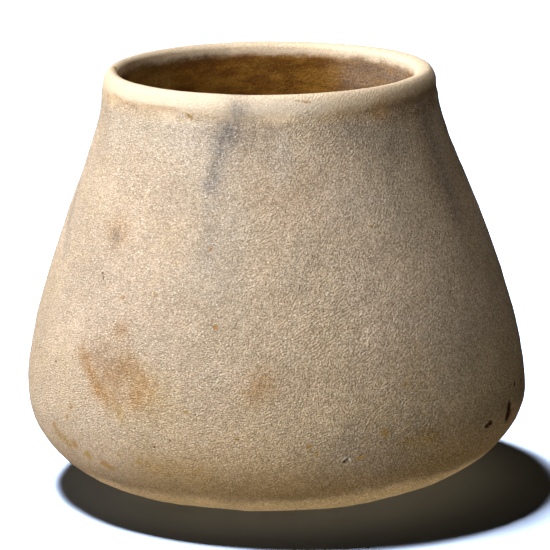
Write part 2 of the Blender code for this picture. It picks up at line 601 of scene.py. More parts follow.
@dataclass
class Jar:
    """The carved stone jar: its shape, its surface and the marks on it."""

    shape: JarShape
    camera: PhotoCamera
    relief: Relief = field(default_factory=Relief)
    columns: int = 392
    crowding: float = 0.28
    walk: Span = (-1.6, 1.0)
    walk_steps: int = 7000

    def __post_init__(self) -> None:
        """Read the profile once."""
        self.profile = Profile.of(self.shape)

    def spot(self, pixel: Pixel, depth: float = 0.0, inside: bool = False) -> Array:
        """Where a photo pixel's ray meets the jar's outer side, or its hollow's far wall.

        The ray is walked in small steps. It meets the outer side where its distance from
        the leaning axis falls to the outer radius at that height, and the hollow where it
        grows to the inner radius. The last step is split in proportion.

        Args:
            pixel: a place in the photograph.
            depth: how far the point is moved from the surface towards the axis.
            inside: whether the hollow is meant.

        Returns:
            The point on the plain turned surface, or the nearest approach at the outline.
        """
        wall = self.profile.inside == float(inside)
        order = np.argsort(self.profile.height[wall])
        heights = self.profile.height[wall][order]
        radii = self.profile.radius[wall][order]
        share = np.linspace(*self.walk, self.walk_steps)
        reach = self.camera.distance + self.shape.belly_radius * share
        walk = self.camera.place + self.camera.ray(pixel) * reach[:, None]
        centre = self.shape.lean(walk[:, 2]) + self.shape.hollow_shift * inside
        away = np.hypot(walk[:, 0] - centre, walk[:, 1]) - np.interp(walk[:, 2], heights, radii)
        if inside:
            away = np.where((walk[:, 1] < 0.0) | (walk[:, 2] > heights[-1]), 1.0, -away)
        away[(walk[:, 2] > self.shape.height) | (walk[:, 2] < 0.0)] = 1.0
        hit = np.flatnonzero(away <= 0.0)
        if len(hit) == 0:
            place = walk[np.argmin(away)]
        else:
            last = hit[0]
            part = away[last - 1] / (away[last - 1] - away[last])
            place = walk[last - 1] + (walk[last] - walk[last - 1]) * part
        return place - depth * place * (1, 1, 0) / np.hypot(place[0], place[1])

    def grid(self) -> tuple[Array, Array]:
        """Every ring's points and outward directions.

        A point is (r cos a + s, r sin a, h), with s the ring's sideways step. The angle a
        is a quarter turn + t + c sin t, so the seam is at the back and the columns stand
        closer in front.

        Returns:
            Two arrays of rings by columns by 3.
        """
        turn = np.arange(self.columns) * math.tau / self.columns
        angle = math.pi / 2 + turn + self.crowding * np.sin(turn)
        line = self.profile
        ring = np.ones_like(angle)
        points = np.stack([
            np.outer(line.radius, np.cos(angle)) + line.aside[:, None],
            np.outer(line.radius, np.sin(angle)),
            np.outer(line.height, ring),
        ], -1)
        normals = np.stack([
            np.outer(line.out_radius, np.cos(angle)),
            np.outer(line.out_radius, np.sin(angle)),
            np.outer(line.out_height, ring),
        ], -1)
        return points, normals

    def groove_mask(self, points: Array) -> Array:
        """How much each point is in the groove under the rim.

        A squared cosine across the groove, which wanders up and down, times a strength
        that changes round the jar and is greater at the right.

        Args:
            points: places on the jar.

        Returns:
            The mask, from 0 to the greatest strength.
        """
        size = self.relief
        level = points * (1, 1, 0)
        wander = ripples(level, size.groove_wander_wave, Seed.GROOVE)
        middle = size.groove_rise + size.groove_wander * wander
        across = (self.profile.run_from_groove[:, None] - middle) / size.groove_width
        change = ripples(level, size.groove_change_wave, Seed.GROOVE_CHANGE)
        right = smooth(points[..., 0], *size.groove_right_fade)
        strength = 1.0 + size.groove_change * change + size.groove_right * right
        dip = np.cos(np.clip(across, -0.5, 0.5) * math.pi) ** 2
        return dip * np.clip(strength, size.groove_least, size.groove_most)

    def rim_mask(self, points: Array) -> Array:
        """1 on the rim above the groove, falling to 0 under it along a ragged edge.

        Args:
            points: places on the jar.

        Returns:
            The mask.
        """
        size = self.relief
        rag = size.rim_edge_wander * ripples(points, size.rim_edge_wave, Seed.RIM)
        return smooth(self.profile.run_from_groove[:, None] + rag, *size.rim_edge)

    def nearness(self, points: Array, path: tuple[Pixel, ...], radius: float,
                 inside: bool = False) -> Array:
        """Soft mask round a path of photo pixels: exp(-(d / r)^2), d the distance to it.

        Args:
            points: places on the jar.
            path: photo pixels that the path joins by straight lines.
            radius: where the mask has fallen to about a third.
            inside: whether the path runs over the far wall of the hollow.

        Returns:
            A mask from 0 to 1.
        """
        spots = [self.spot(pixel, inside=inside) for pixel in path]
        pairs = list(zip(spots, spots[1:])) or [(spots[0], spots[0])]
        nearest = np.full(points.shape[:-1], np.inf)
        for start, end in pairs:
            along = end - start
            length = max(float(along @ along), TINY)
            share = np.clip((points - start) @ along / length, 0.0, 1.0)
            gap = points - start - share[..., None] * along
            nearest = np.minimum(nearest, np.linalg.norm(gap, axis=-1))
        return np.exp(-((nearest / radius) ** 2))

    def carve(self, points: Array, normals: Array) -> Array:
        """Move the plain turned points to the hand-ground surface.

        Each point moves along its normal by four sizes of ripple, calmer on the rim, less
        the groove and the pits. The rim rises a little towards the front. The foot stays
        flat.

        Args:
            points: the plain grid.
            normals: its outward directions.

        Returns:
            The carved grid.
        """
        size = self.relief
        rim = self.rim_mask(points)
        calm = 1.0 - (1.0 - size.rim_calm) * rim
        rise = size.broad * ripples(points, size.broad_wave, Seed.BROAD)
        rise = rise + size.ground * ripples(points, size.ground_wave, Seed.GROUND)
        rise = rise + size.rubbed * ripples(points, size.rubbed_wave, Seed.RUBBED)
        rise = (rise + size.gritty * ripples(points, size.gritty_wave, Seed.GRITTY)) * calm
        outside = 1.0 - self.profile.inside[:, None]
        rise = rise - size.groove_depth * self.groove_mask(points) * outside
        for pit in PITS:
            hole = self.nearness(points, (pit.start, pit.end), pit.radius * MM)
            rise = rise - pit.depth * MM * hole * outside
        off_foot = smooth(self.profile.height, *size.foot_fade)
        off_foot[self.profile.inside > 0.0] = 1.0
        near_lip = 1.0 - smooth(self.profile.depth, *size.rim_lift_fade)[:, None]
        front = 0.5 - 0.5 * points[..., 1] / np.hypot(points[..., 0], points[..., 1])
        lift = (size.rim_lift * front * rim * near_lip)[..., None]
        return points + normals * (rise * off_foot[:, None])[..., None] + lift * (0, 0, 1)

    def tints(self, points: Array) -> dict[str, Array]:
        """Strength of each tint at every point: its masks m joined as 1 - product(1 - m).

        Args:
            points: the plain grid.

        Returns:
            The strengths by the tint's name.
        """
        within = self.profile.inside[:, None]
        strengths = {}
        for tint, blotches in BLOTCHES.items():
            clear = np.ones(points.shape[:-1])
            for blotch in blotches:
                mask = self.nearness(points, blotch.path, blotch.radius * MM, blotch.inside)
                mask = mask * (within if blotch.inside else 1.0 - within)
                clear *= 1.0 - blotch.strength * mask
            strengths[tint.value] = 1.0 - clear
        return strengths

    def faces(self, rings: int) -> list[list[int]]:
        """Four-sided faces between rings, and a fan of triangles round each pole.

        Args:
            rings: how many rings there are; the poles' vertices come after them.

        Returns:
            The vertex numbers of each face, turned so that its normal points out.
        """
        here = np.arange(self.columns)
        there = (here + 1) % self.columns
        row = np.arange(rings - 1)[:, None] * self.columns
        above = row + self.columns
        quads = np.stack([row + here, row + there, above + there, above + here], -1)
        low = np.stack([np.full_like(here, rings * self.columns), there, here], -1)
        top = (rings - 1) * self.columns
        pole = np.full_like(here, rings * self.columns + 1)
        high = np.stack([top + here, top + there, pole], -1)
        return quads.reshape(-1, 4).tolist() + low.tolist() + high.tolist()

    def masks(self, points: Array) -> dict[str, Array]:
        """The masks that the stone's finish reads from the mesh.

        Args:
            points: the plain grid.

        Returns:
            The tints' strengths, the rim, the groove, the hollow and the way past the lip.
        """
        line = self.profile
        masks = self.tints(points)
        outer = 1.0 - smooth(line.depth, *self.relief.rim_inner_fade)[:, None]
        masks["rim"] = self.rim_mask(points) * outer
        masks["groove"] = self.groove_mask(points) * (1.0 - line.inside[:, None])
        masks["inside"] = np.broadcast_to(line.inside[:, None], points.shape[:-1])
        masks["depth"] = np.broadcast_to(line.depth[:, None], points.shape[:-1])
        return masks

    def build(self, material: bpy.types.Material) -> bpy.types.Object:
        """Make the jar's finished object and put it in the frame.

        Args:
            material: the stone.

        Returns:
            The jar, riding on the frame's body in place of the solid.
        """
        plain, normals = self.grid()
        carved = self.carve(plain, normals)
        poles = np.array([[0.0, 0.0, 0.0], [self.shape.hollow_shift, 0.0, self.shape.floor]])
        mesh = bpy.data.meshes.new("stone_jar")
        mesh.from_pydata(np.vstack([carved.reshape(-1, 3), poles]), [], self.faces(len(plain)))
        mesh.shade_smooth()
        for name, mask in self.masks(plain).items():
            ends = [mask[0].mean(), mask[-1].mean()]
            layer = mesh.attributes.new(name, "FLOAT", "POINT")
            layer.data.foreach_set("value", np.append(mask.ravel(), ends).astype(np.float32))
        mesh.materials.append(material)
        jar = bpy.data.objects.new("stone_jar", mesh)
        bpy.context.scene.collection.objects.link(jar)
        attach(jar, BODY)
        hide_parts(NODE)
        size = len(plain), self.columns, len(mesh.polygons)
        log.info("stone_jar: %d rings of %d, %d faces", *size)
        return jar


class Bench:
    """Adds and links the nodes of one tree."""

    def __init__(self, tree: bpy.types.NodeTree) -> None:
        """Work on a tree."""
        self.tree = tree

    def node(self, kind: str, inputs: dict[str | int, object],
             **settings: object) -> bpy.types.Node:
        """Add a node.

        Args:
            kind: the node's type.
            inputs: a value or an output for each input, by its name or number.
            settings: the node's own settings.

        Returns:
            The node.
        """
        made = self.tree.nodes.new(kind)
        for name, value in settings.items():
            setattr(made, name, value)
        for name, value in inputs.items():
            if isinstance(value, bpy.types.NodeSocket):
                self.tree.links.new(value, made.inputs[name])
            else:
                made.inputs[name].default_value = value
        return made

    def link(self, value: Socket, socket: Socket) -> None:
        """Join an output to an input."""
        self.tree.links.new(value, socket)

    def math(self, operation: str, first: float | Socket, second: float | Socket = 0.0) -> Socket:
        """A sum on one or two values."""
        return self.node("ShaderNodeMath", {0: first, 1: second}, operation=operation).outputs[0]

    def limited(self, value: Socket) -> Socket:
        """The same value, kept between 0 and 1."""
        value.node.use_clamp = True
        return value

    def product(self, first: Socket, *others: float | Socket) -> Socket:
        """Several values multiplied.

        Args:
            first: a value.
            others: what it is multiplied by.

        Returns:
            The product.
        """
        for other in others:
            first = self.math("MULTIPLY", first, other)
        return first

    def weighed(self, *parts: tuple[Socket, float]) -> Socket:
        """Several values added, each times its share.

        Args:
            parts: pairs of a value and its share.

        Returns:
            The sum.
        """
        total = self.math("MULTIPLY", *parts[0])
        for part in parts[1:]:
            total = self.math("ADD", total, self.math("MULTIPLY", *part))
        return total

    def vector(self, operation: str, first: Socket, second: Socket | Triple) -> Socket:
        """A sum on two vectors."""
        made = self.node("ShaderNodeVectorMath", {0: first, 1: second}, operation=operation)
        return made.outputs["Value" if operation in ("DISTANCE", "DOT_PRODUCT") else "Vector"]

    def scaled(self, vector: Socket, scale: float | Socket) -> Socket:
        """A vector times a value."""
        inputs = {0: vector, "Scale": scale}
        return self.node("ShaderNodeVectorMath", inputs, operation="SCALE").outputs[0]

    def step(self, value: Socket, low: float | Socket, high: float | Socket,
             to_low: float = 0.0, to_high: float = 1.0) -> Socket:
        """A smooth step from one value to another.

        Args:
            value: what is read.
            low: where the step starts.
            high: where it ends.
            to_low: what it gives up to low.
            to_high: what it gives from high on.

        Returns:
            The stepped value.
        """
        ends = {"From Min": low, "From Max": high, "To Min": to_low, "To Max": to_high}
        return self.node("ShaderNodeMapRange", {"Value": value} | ends,
                         interpolation_type="SMOOTHSTEP").outputs["Result"]

    def noise(self, vector: Socket, size: float, detail: float = 2.0,
              roughness: float = 0.5) -> Socket:
        """Soft noise with lumps of about a given size, from 0 to 1 around 0.5."""
        inputs = {"Vector": vector, "Scale": 1.0 / size, "Detail": detail, "Roughness": roughness}
        return self.node("ShaderNodeTexNoise", inputs).outputs["Fac"]

    def blend(self, share: float | Socket, first: Colour | Socket, second: Colour | Socket,
              how: str = "MIX") -> Socket:
        """Blend two colours."""
        inputs = {0: share, 6: first, 7: second}
        return self.node("ShaderNodeMix", inputs, data_type="RGBA", blend_type=how).outputs[2]

    def stretch(self, vector: Socket, scale: Triple, turn: Triple = (0.0, 0.0, 0.0)) -> Socket:
        """Turn a pattern's coordinates and stretch them."""
        inputs = {"Vector": vector, "Rotation": turn, "Scale": scale}
        return self.node("ShaderNodeMapping", inputs, vector_type="TEXTURE").outputs[0]

    def parts(self, vector: Socket) -> bpy.types.bpy_prop_collection:
        """A place's X, Y and Z."""
        return self.node("ShaderNodeSeparateXYZ", {0: vector}).outputs

    def attribute(self, name: str) -> Socket:
        """A mask that is kept on the mesh."""
        return self.node("ShaderNodeAttribute", {}, attribute_name=name).outputs["Fac"]


def group(name: str, inputs: dict[str, str],
          outputs: dict[str, str]) -> tuple[Bench, dict[str, Socket], dict[str, Socket]]:
    """Start a node group.

    Args:
        name: the group's name.
        inputs: socket type of each input, by name.
        outputs: socket type of each output, by name.

    Returns:
        A bench on the group, its inputs by name and its outputs by name.
    """
    tree = bpy.data.node_groups.new(name, "ShaderNodeTree")
    for label, kind in inputs.items():
        tree.interface.new_socket(label, in_out="INPUT", socket_type=kind)
    for label, kind in outputs.items():
        tree.interface.new_socket(label, in_out="OUTPUT", socket_type=kind)
    bench = Bench(tree)
    given = bench.node("NodeGroupInput", {}).outputs
    ends = bench.node("NodeGroupOutput", {}).inputs
    taken = {label: given[label] for label in inputs}
    return bench, taken, {label: ends[label] for label in outputs}


@dataclass(frozen=True)
class Ramp:
    """A smooth step: at_low up to low, at_high from high on."""

    low: float
    high: float
    at_low: float = 0.0
    at_high: float = 1.0

    def read(self, bench: Bench, value: Socket) -> Socket:
        """What the step makes of a value."""
        return bench.step(value, self.low, self.high, self.at_low, self.at_high)


@dataclass(frozen=True)
class Pattern:
    """Soft noise with lumps of a size, put through a ramp."""

    size: float
    detail: float
    roughness: float
    ramp: Ramp

    def read(self, bench: Bench, place: Socket) -> Socket:
        """The pattern at a place."""
        return self.ramp.read(bench, bench.noise(place, self.size, self.detail, self.roughness))


@dataclass(frozen=True)
class GrainEffect:
    """Sugary crystal grain: cells of random tone, softer lumps, ground streaks and glints."""

    squash: Triple = (1.2, 1.2, 0.9)
    crystal: float = 0.25 * MM
    lumps: Pattern = Pattern(1.30 * MM, 2.0, 0.6, Ramp(0.3, 0.7))
    bumps: float = 0.42 * MM
    bump_detail: float = 2.0
    bump_roughness: float = 0.6
    streak: float = 0.34 * MM
    streak_detail: float = 1.0
    streak_ramp: Ramp = Ramp(0.25, 0.75)
    streak_length: float = 3.0
    slant: float = math.radians(-32.0)
    unroll: float = 52.0 * MM
    side: Ramp = Ramp(0.50, 0.62)
    side_wave: float = 16.0 * MM
    side_slope: float = 6.0
    crystal_tone: float = 0.68
    lump_tone: float = 0.16
    streak_tone: float = 0.16
    bump_rise: float = 0.76
    streak_rise: float = 0.24
    glint: float = 0.68 * MM
    glint_core: Ramp = Ramp(0.18, 0.30, 1.0, 0.0)
    glint_chance: Ramp = Ramp(0.2, 0.9)

    def build(self) -> bpy.types.NodeTree:
        """Make the node group.

        It takes a place. It puts out a tone from 0 to 1 around 0.5, a height, and a mask of
        the few crystals that catch the light.

        Returns:
            The group.
        """
        kinds = {name: "NodeSocketFloat" for name in ("Tone", "Height", "Glint")}
        bench, given, ends = group("crystal_grain", {"Vector": "NodeSocketVector"}, kinds)
        place = given["Vector"]
        flat = bench.stretch(place, self.squash)
        streaks = self.streaks(bench, place)
        tone = bench.weighed(
            (self.cells(bench, flat, self.crystal)[0], self.crystal_tone),
            (self.lumps.read(bench, flat), self.lump_tone), (streaks, self.streak_tone),
        )
        bumps = bench.noise(flat, self.bumps, self.bump_detail, self.bump_roughness)
        chance, distance = self.cells(bench, flat, self.glint)
        near = self.glint_core.read(bench, distance)
        height = bench.weighed((bumps, self.bump_rise), (streaks, self.streak_rise))
        bench.link(tone, ends["Tone"])
        bench.link(height, ends["Height"])
        bench.link(bench.product(near, self.glint_chance.read(bench, chance)), ends["Glint"])
        return bench.tree

    def cells(self, bench: Bench, place: Socket, size: float) -> tuple[Socket, Socket]:
        """Crystals of about a given size: a random value of each and the way to its middle.

        Args:
            bench: the group's bench.
            place: where the pattern is read.
            size: the typical width of a crystal.

        Returns:
            The random value and the distance.
        """
        cells = bench.node("ShaderNodeTexVoronoi", {"Vector": place, "Scale": 1.0 / size})
        chance = bench.node("ShaderNodeSeparateColor", {0: cells.outputs["Color"]}).outputs[0]
        return chance, cells.outputs["Distance"]

    def streaks(self, bench: Bench, place: Socket) -> Socket:
        """Plain fine noise at the left, which gives way to slanted streaks at the right.

        The flank is unrolled: the angle from the front times a length runs across.

        Args:
            bench: the group's bench.
            place: where the pattern is read.

        Returns:
            The pattern, from 0 to 1.
        """
        parts = bench.parts(place)
        turn = bench.math("ARCTAN2", parts["X"], bench.math("MULTIPLY", parts["Y"], -1.0))
        around = bench.math("MULTIPLY", turn, self.unroll)
        flank = bench.node("ShaderNodeCombineXYZ", {"X": around, "Z": parts["Z"]}).outputs[0]
        plain = bench.noise(flank, self.streak, self.streak_detail)
        drawn = bench.stretch(flank, (self.streak_length, 1.0, 1.0), (0.0, self.slant, 0.0))
        slanted = bench.noise(drawn, self.streak, self.streak_detail)
        wander = bench.noise(place, self.side_wave, self.streak_detail)
        side = bench.math("ADD", wander, bench.math("MULTIPLY", around, self.side_slope))
        right = self.side.read(bench, side)
        left = bench.product(plain, bench.math("SUBTRACT", 1.0, right))
        both = bench.math("ADD", left, bench.product(slanted, right))
        return self.streak_ramp.read(bench, both)


@dataclass(frozen=True)
class FleckEffect:
    """Mask of one small mark: 1 along the line between two points, 0 past its radius."""

    fade: Ramp = Ramp(0.35, 1.15, 1.0, 0.0)
    shortest: float = 1e-9

    def build(self) -> bpy.types.NodeTree:
        """Make the node group: the distance to a short line, faded from its core outwards.

        Returns:
            The group.
        """
        kinds = {name: "NodeSocketVector" for name in ("Vector", "Start", "End")}
        kinds["Radius"] = "NodeSocketFloat"
        bench, given, ends = group("small_mark", kinds, {"Mask": "NodeSocketFloat"})
        away = bench.vector("SUBTRACT", given["Vector"], given["Start"])
        along = bench.vector("SUBTRACT", given["End"], given["Start"])
        length = bench.math("MAXIMUM", bench.vector("DOT_PRODUCT", along, along), self.shortest)
        share = bench.math("DIVIDE", bench.vector("DOT_PRODUCT", away, along), length)
        gap = bench.vector("DISTANCE", away, bench.scaled(along, bench.limited(share)))
        ratio = bench.math("DIVIDE", gap, given["Radius"])
        bench.link(self.fade.read(bench, ratio), ends["Mask"])
        return bench.tree


@dataclass(frozen=True)
class StoneFinish:
    """Warm alabaster: cream to tan, with grey veins, rusty stains and a brown hollow.

    The colours toned, earthy, grain_dark and grain_light, and those of the low darker band and
    the bright foot band, multiply what is under them, so they may be over 1. Light or shade is
    painted in part by the groove's brown at the right, the low darker band, the bright foot band,
    the grain's extra contrast at the right, and some blotches and flecks.
    """

    cream: Colour = (0.71, 0.555, 0.410, 1.0)
    tan: Colour = (0.63, 0.488, 0.340, 1.0)
    zones: Pattern = Pattern(34.0 * MM, 2.0, 0.5, Ramp(0.40, 0.62))
    dull: Colour = (0.58, 0.465, 0.350, 1.0)
    dull_share: float = 0.5
    patches: Pattern = Pattern(11.0 * MM, 3.0, 0.6, Ramp(0.42, 0.66))
    rim: Colour = (0.88, 0.700, 0.500, 1.0)
    rim_share: float = 0.8
    toned: Colour = (1.02, 0.965, 0.850, 1.0)
    # the groove's brown: partly grime in the crease, partly painted shade under the rim, strong
    # only at the right, away from the lamps
    groove: Colour = (0.34, 0.225, 0.115, 1.0)
    groove_grime_and_shade: Pattern = Pattern(9.0 * MM, 3.0, 0.5, Ramp(0.2, 0.8, 0.6, 1.0))
    groove_shade_side: Ramp = Ramp(22.0 * MM, 40.0 * MM, 0.10, 0.75)
    wave: float = 12.0 * MM
    wave_detail: float = 3.0
    wave_rise: float = 5.0 * MM
    earthy: Colour = (1.00, 0.975, 0.87, 1.0)
    earthy_height: Ramp = Ramp(33.0 * MM, 52.0 * MM, 1.0, 0.0)
    earthy_side: Ramp = Ramp(-42.0 * MM, -24.0 * MM)
    # darker band low on the belly: partly earth stain, partly painted shade, lower at the lit left
    # and higher at the shaded right
    earth_and_shade: Colour = (0.60, 0.505, 0.340, 1.0)
    earth_and_shade_height: Ramp = Ramp(11.0 * MM, 33.0 * MM, 1.0, 0.0)
    earth_and_shade_left: Ramp = Ramp(-50.0 * MM, -12.0 * MM, -5.5 * MM, 0.0)
    earth_and_shade_right: Ramp = Ramp(12.0 * MM, 40.0 * MM, 0.0, 4.0 * MM)
    # warm, brighter band on the underside: the stone's warmer tint plus painted bounce light from
    # the floor
    warm_bounce_lit_foot: Colour = (1.32, 1.19, 0.89, 1.0)
    warm_bounce_lit_height: Ramp = Ramp(9.0 * MM, 13.0 * MM, 1.0, 0.0)
    warm_bounce_lit_right: Ramp = Ramp(10.0 * MM, 40.0 * MM, 0.0, 2.5 * MM)
    hollow: Colour = (0.275, 0.124, 0.012, 1.0)
    residue: Colour = (0.150, 0.054, 0.001, 1.0)
    residue_squash: Triple = (3.0, 3.0, 1.0)
    residue_streaks: Pattern = Pattern(2.5 * MM, 4.0, 0.65, Ramp(0.35, 0.65))
    tide_squash: Triple = (1.0, 1.0, 0.5)
    tide_lumps: Triple = (5.0 * MM, 4.0, 0.6)
    tide_wander: float = 3.0 * MM
    tide: Ramp = Ramp(-1.0 * MM, 1.4 * MM)
    rust: Colour = (0.475, 0.255, 0.085, 1.0)
    ochre: Colour = (0.48, 0.29, 0.075, 1.0)
    grey: Colour = (0.230, 0.215, 0.203, 1.0)
    pale: Colour = (0.80, 0.72, 0.62, 1.0)
    dark: Colour = (0.055, 0.018, 0.001, 1.0)
    mottle: Triple = (2.6 * MM, 4.0, 0.7)
    mottle_share: float = 0.6
    speckle: Triple = (0.55 * MM, 1.0, 0.5)
    mottle_edges: Span = (0.34, 0.64)
    clumps: tuple[tuple[Tint, float], ...] = (
        (Tint.PALE, 0.3), (Tint.OCHRE, 0.6), (Tint.RUST, 0.6), (Tint.GREY, 0.45), (Tint.DARK, 0.4),
    )
    fleck_share: float = 0.92
    fleck_rag: float = 1.0 * MM
    fleck_rag_size: float = 0.8 * MM
    fleck_rag_detail: float = 2.0
    grain_dark: Colour = (0.68, 0.64, 0.59, 1.0)
    grain_light: Colour = (1.22, 1.23, 1.25, 1.0)
    grain_edges: Span = (0.17, 0.83)
    # more grain contrast at the right: painted shading of the crystals' relief under grazing light
    grazing_shade_contrast: Ramp = Ramp(-25.0 * MM, 35.0 * MM, -0.06, 0.20)
    glint: Colour = (1.00, 0.94, 0.84, 1.0)
    glint_share: float = 0.80
    glint_inside: Ramp = Ramp(0.0, 1.0, 1.0, 0.12)
    glint_on_rust: Ramp = Ramp(0.1, 0.6, 1.0, 0.35)
    glint_height: Ramp = Ramp(12.0 * MM, 32.0 * MM, 0.35, 1.0)
    rubbed: float = 0.38
    hollow_calm: float = 0.5
    gloss: Ramp = Ramp(0.3, 0.8, 0.68, 0.46)
    polish: Ramp = Ramp(0.0, 1.0, 1.0, 0.68)
    hollow_matt: float = 0.30
    bump: float = 1.0
    bump_height: float = 0.84 * MM
    specular: float = 0.28

    def build(self, jar: Jar) -> bpy.types.Material:
        """Make the stone's material.

        Args:
            jar: gives the places of the small marks.

        Returns:
            The material.
        """
        material = bpy.data.materials.new(SLOT)
        material.use_nodes = True
        bench = Bench(material.node_tree)
        shader = material.node_tree.nodes["Principled BSDF"]
        place = bench.node("ShaderNodeTexCoord", {}).outputs["Object"]
        grain = bench.node("ShaderNodeGroup", {}, node_tree=GrainEffect().build())
        bench.link(place, grain.inputs["Vector"])
        tone, height, glint = (grain.outputs[name] for name in ("Tone", "Height", "Glint"))
        within, rim = bench.attribute("inside"), bench.attribute("rim")
        calm = bench.math("MAXIMUM", rim, bench.product(within, self.hollow_calm))
        rough = bench.step(calm, 0.0, 1.0, 1.0, self.rubbed)
        colour = self.stain(bench, place, self.ground_colour(bench, place))
        colour = self.grained(bench, place, colour, tone, rough)
        bright = bench.product(
            glint, bench.step(rough, self.rubbed, 1.0, 0.0, self.glint_share),
            self.glint_inside.read(bench, within),
            self.glint_on_rust.read(bench, bench.attribute("rust")),
            self.glint_height.read(bench, bench.parts(place)["Z"]),
        )
        marked = self.fleck(bench, jar, place, bench.blend(bright, colour, self.glint))
        bench.link(marked, shader.inputs["Base Color"])
        shader.inputs["Specular IOR Level"].default_value = self.specular
        matt = bench.product(self.gloss.read(bench, tone), self.polish.read(bench, rim))
        matt = bench.math("ADD", matt, bench.product(within, self.hollow_matt))
        bench.link(matt, shader.inputs["Roughness"])
        relief = {"Strength": self.bump, "Distance": self.bump_height,
                  "Height": bench.product(height, rough)}
        bench.link(bench.node("ShaderNodeBump", relief).outputs[0], shader.inputs["Normal"])
        return material

    def grained(self, bench: Bench, place: Socket, colour: Socket, tone: Socket,
                rough: Socket) -> Socket:
        """Lighten and darken the stone by its crystals, with more contrast at the right, where the
        extra contrast is painted shading of the grain's relief under grazing light.

        Args:
            bench: the material's bench.
            place: where the pattern is read.
            colour: the stone under the grain.
            tone: the crystals' tone.
            rough: how strong the grain is, from 0 to 1.

        Returns:
            The colour.
        """
        low, high = self.grain_edges
        sharp = self.grazing_shade_contrast.read(bench, bench.parts(place)["X"])
        edges = bench.math("ADD", sharp, low), bench.math("SUBTRACT", high, sharp)
        shade = bench.blend(bench.step(tone, *edges), self.grain_dark, self.grain_light)
        return bench.blend(rough, colour, shade, "MULTIPLY")

    def ground_colour(self, bench: Bench, place: Socket) -> Socket:
        """The unstained stone: cream, tan and dull zones, the rim, the groove's brown, partly
        grime and partly painted shade, and the brown hollow.

        Args:
            bench: the material's bench.
            place: where the patterns are read.

        Returns:
            The colour.
        """
        rim, groove = bench.attribute("rim"), bench.attribute("groove")
        colour = bench.blend(self.zones.read(bench, place), self.cream, self.tan)
        patches = bench.product(self.patches.read(bench, place), self.dull_share)
        colour = bench.blend(patches, colour, self.dull)
        colour = bench.blend(bench.product(rim, self.rim_share), colour, self.rim)
        # brown in the groove, strong at the right: partly grime, partly painted shade under the
        # rim
        side = self.groove_shade_side.read(bench, bench.parts(place)["X"])
        grime_and_shade = bench.product(groove, self.groove_grime_and_shade.read(bench, place), side)
        colour = bench.blend(groove, colour, self.toned, "MULTIPLY")
        colour = bench.blend(bench.limited(grime_and_shade), colour, self.groove)
        colour = self.foot_band(bench, place, colour)
        lumps = bench.noise(bench.stretch(place, self.tide_squash), *self.tide_lumps)
        uneven = bench.product(lumps, self.tide_wander)
        tide = self.tide.read(bench, bench.math("SUBTRACT", bench.attribute("depth"), uneven))
        streaks = self.residue_streaks.read(bench, bench.stretch(place, self.residue_squash))
        return bench.blend(tide, colour, bench.blend(streaks, self.hollow, self.residue))

    def foot_band(self, bench: Bench, place: Socket, colour: Socket) -> Socket:
        """A darker earthy band low on the belly, and a warm, brighter band on the underside.

        Both follow the height, made wavy by noise. The darker band is partly earth stain and
        partly
        painted shade: it sits lower at the lit left and higher at the shaded right. The brighter
        band is the stone's warmer tint plus painted bounce light from the floor, and reaches
        higher at the right.

        Args:
            bench: the material's bench.
            place: where the patterns are read.
            colour: the stone without them.

        Returns:
            The colour.
        """
        parts = bench.parts(place)
        waves = bench.noise(place, self.wave, self.wave_detail)
        wavy = bench.math("ADD", bench.product(waves, self.wave_rise), parts["Z"])
        # painted shade: the darker band is lowered at the lit left and raised at the shaded right
        raised = bench.math("SUBTRACT", wavy, self.earth_and_shade_left.read(bench, parts["X"]))
        raised = bench.math("SUBTRACT", raised, self.earth_and_shade_right.read(bench, parts["X"]))
        # the warm, brighter band is partly painted bounce light from the floor
        lifted = bench.math("SUBTRACT", wavy, self.warm_bounce_lit_right.read(bench, parts["X"]))
        warm_bounce_lit = self.warm_bounce_lit_height.read(bench, lifted)
        earth_and_shade_share = bench.math("SUBTRACT", self.earth_and_shade_height.read(bench, raised), warm_bounce_lit)
        earthy = self.earthy_height.read(bench, wavy)
        earthy = bench.product(earthy, self.earthy_side.read(bench, parts["X"]))
        colour = bench.blend(earthy, colour, self.earthy, "MULTIPLY")
        colour = bench.blend(bench.limited(earth_and_shade_share), colour, self.earth_and_shade, "MULTIPLY")
        return bench.blend(warm_bounce_lit, colour, self.warm_bounce_lit_foot, "MULTIPLY")

    def stain(self, bench: Bench, place: Socket, colour: Socket) -> Socket:
        """Lay the soft blotches over the stone, each broken up by mottling.

        Args:
            bench: the material's bench.
            place: where the patterns are read.
            colour: the clean stone.

        Returns:
            The colour.
        """
        mottle = bench.weighed(
            (bench.noise(place, *self.mottle), self.mottle_share),
            (bench.noise(place, *self.speckle), 1.0 - self.mottle_share),
        )
        for tint, clumps in self.clumps:
            broken = bench.step(mottle, *self.mottle_edges, 1.0 - clumps, 1.0 + clumps)
            share = bench.limited(bench.product(bench.attribute(tint.value), broken))
            colour = bench.blend(share, colour, getattr(self, tint.value))
        return colour

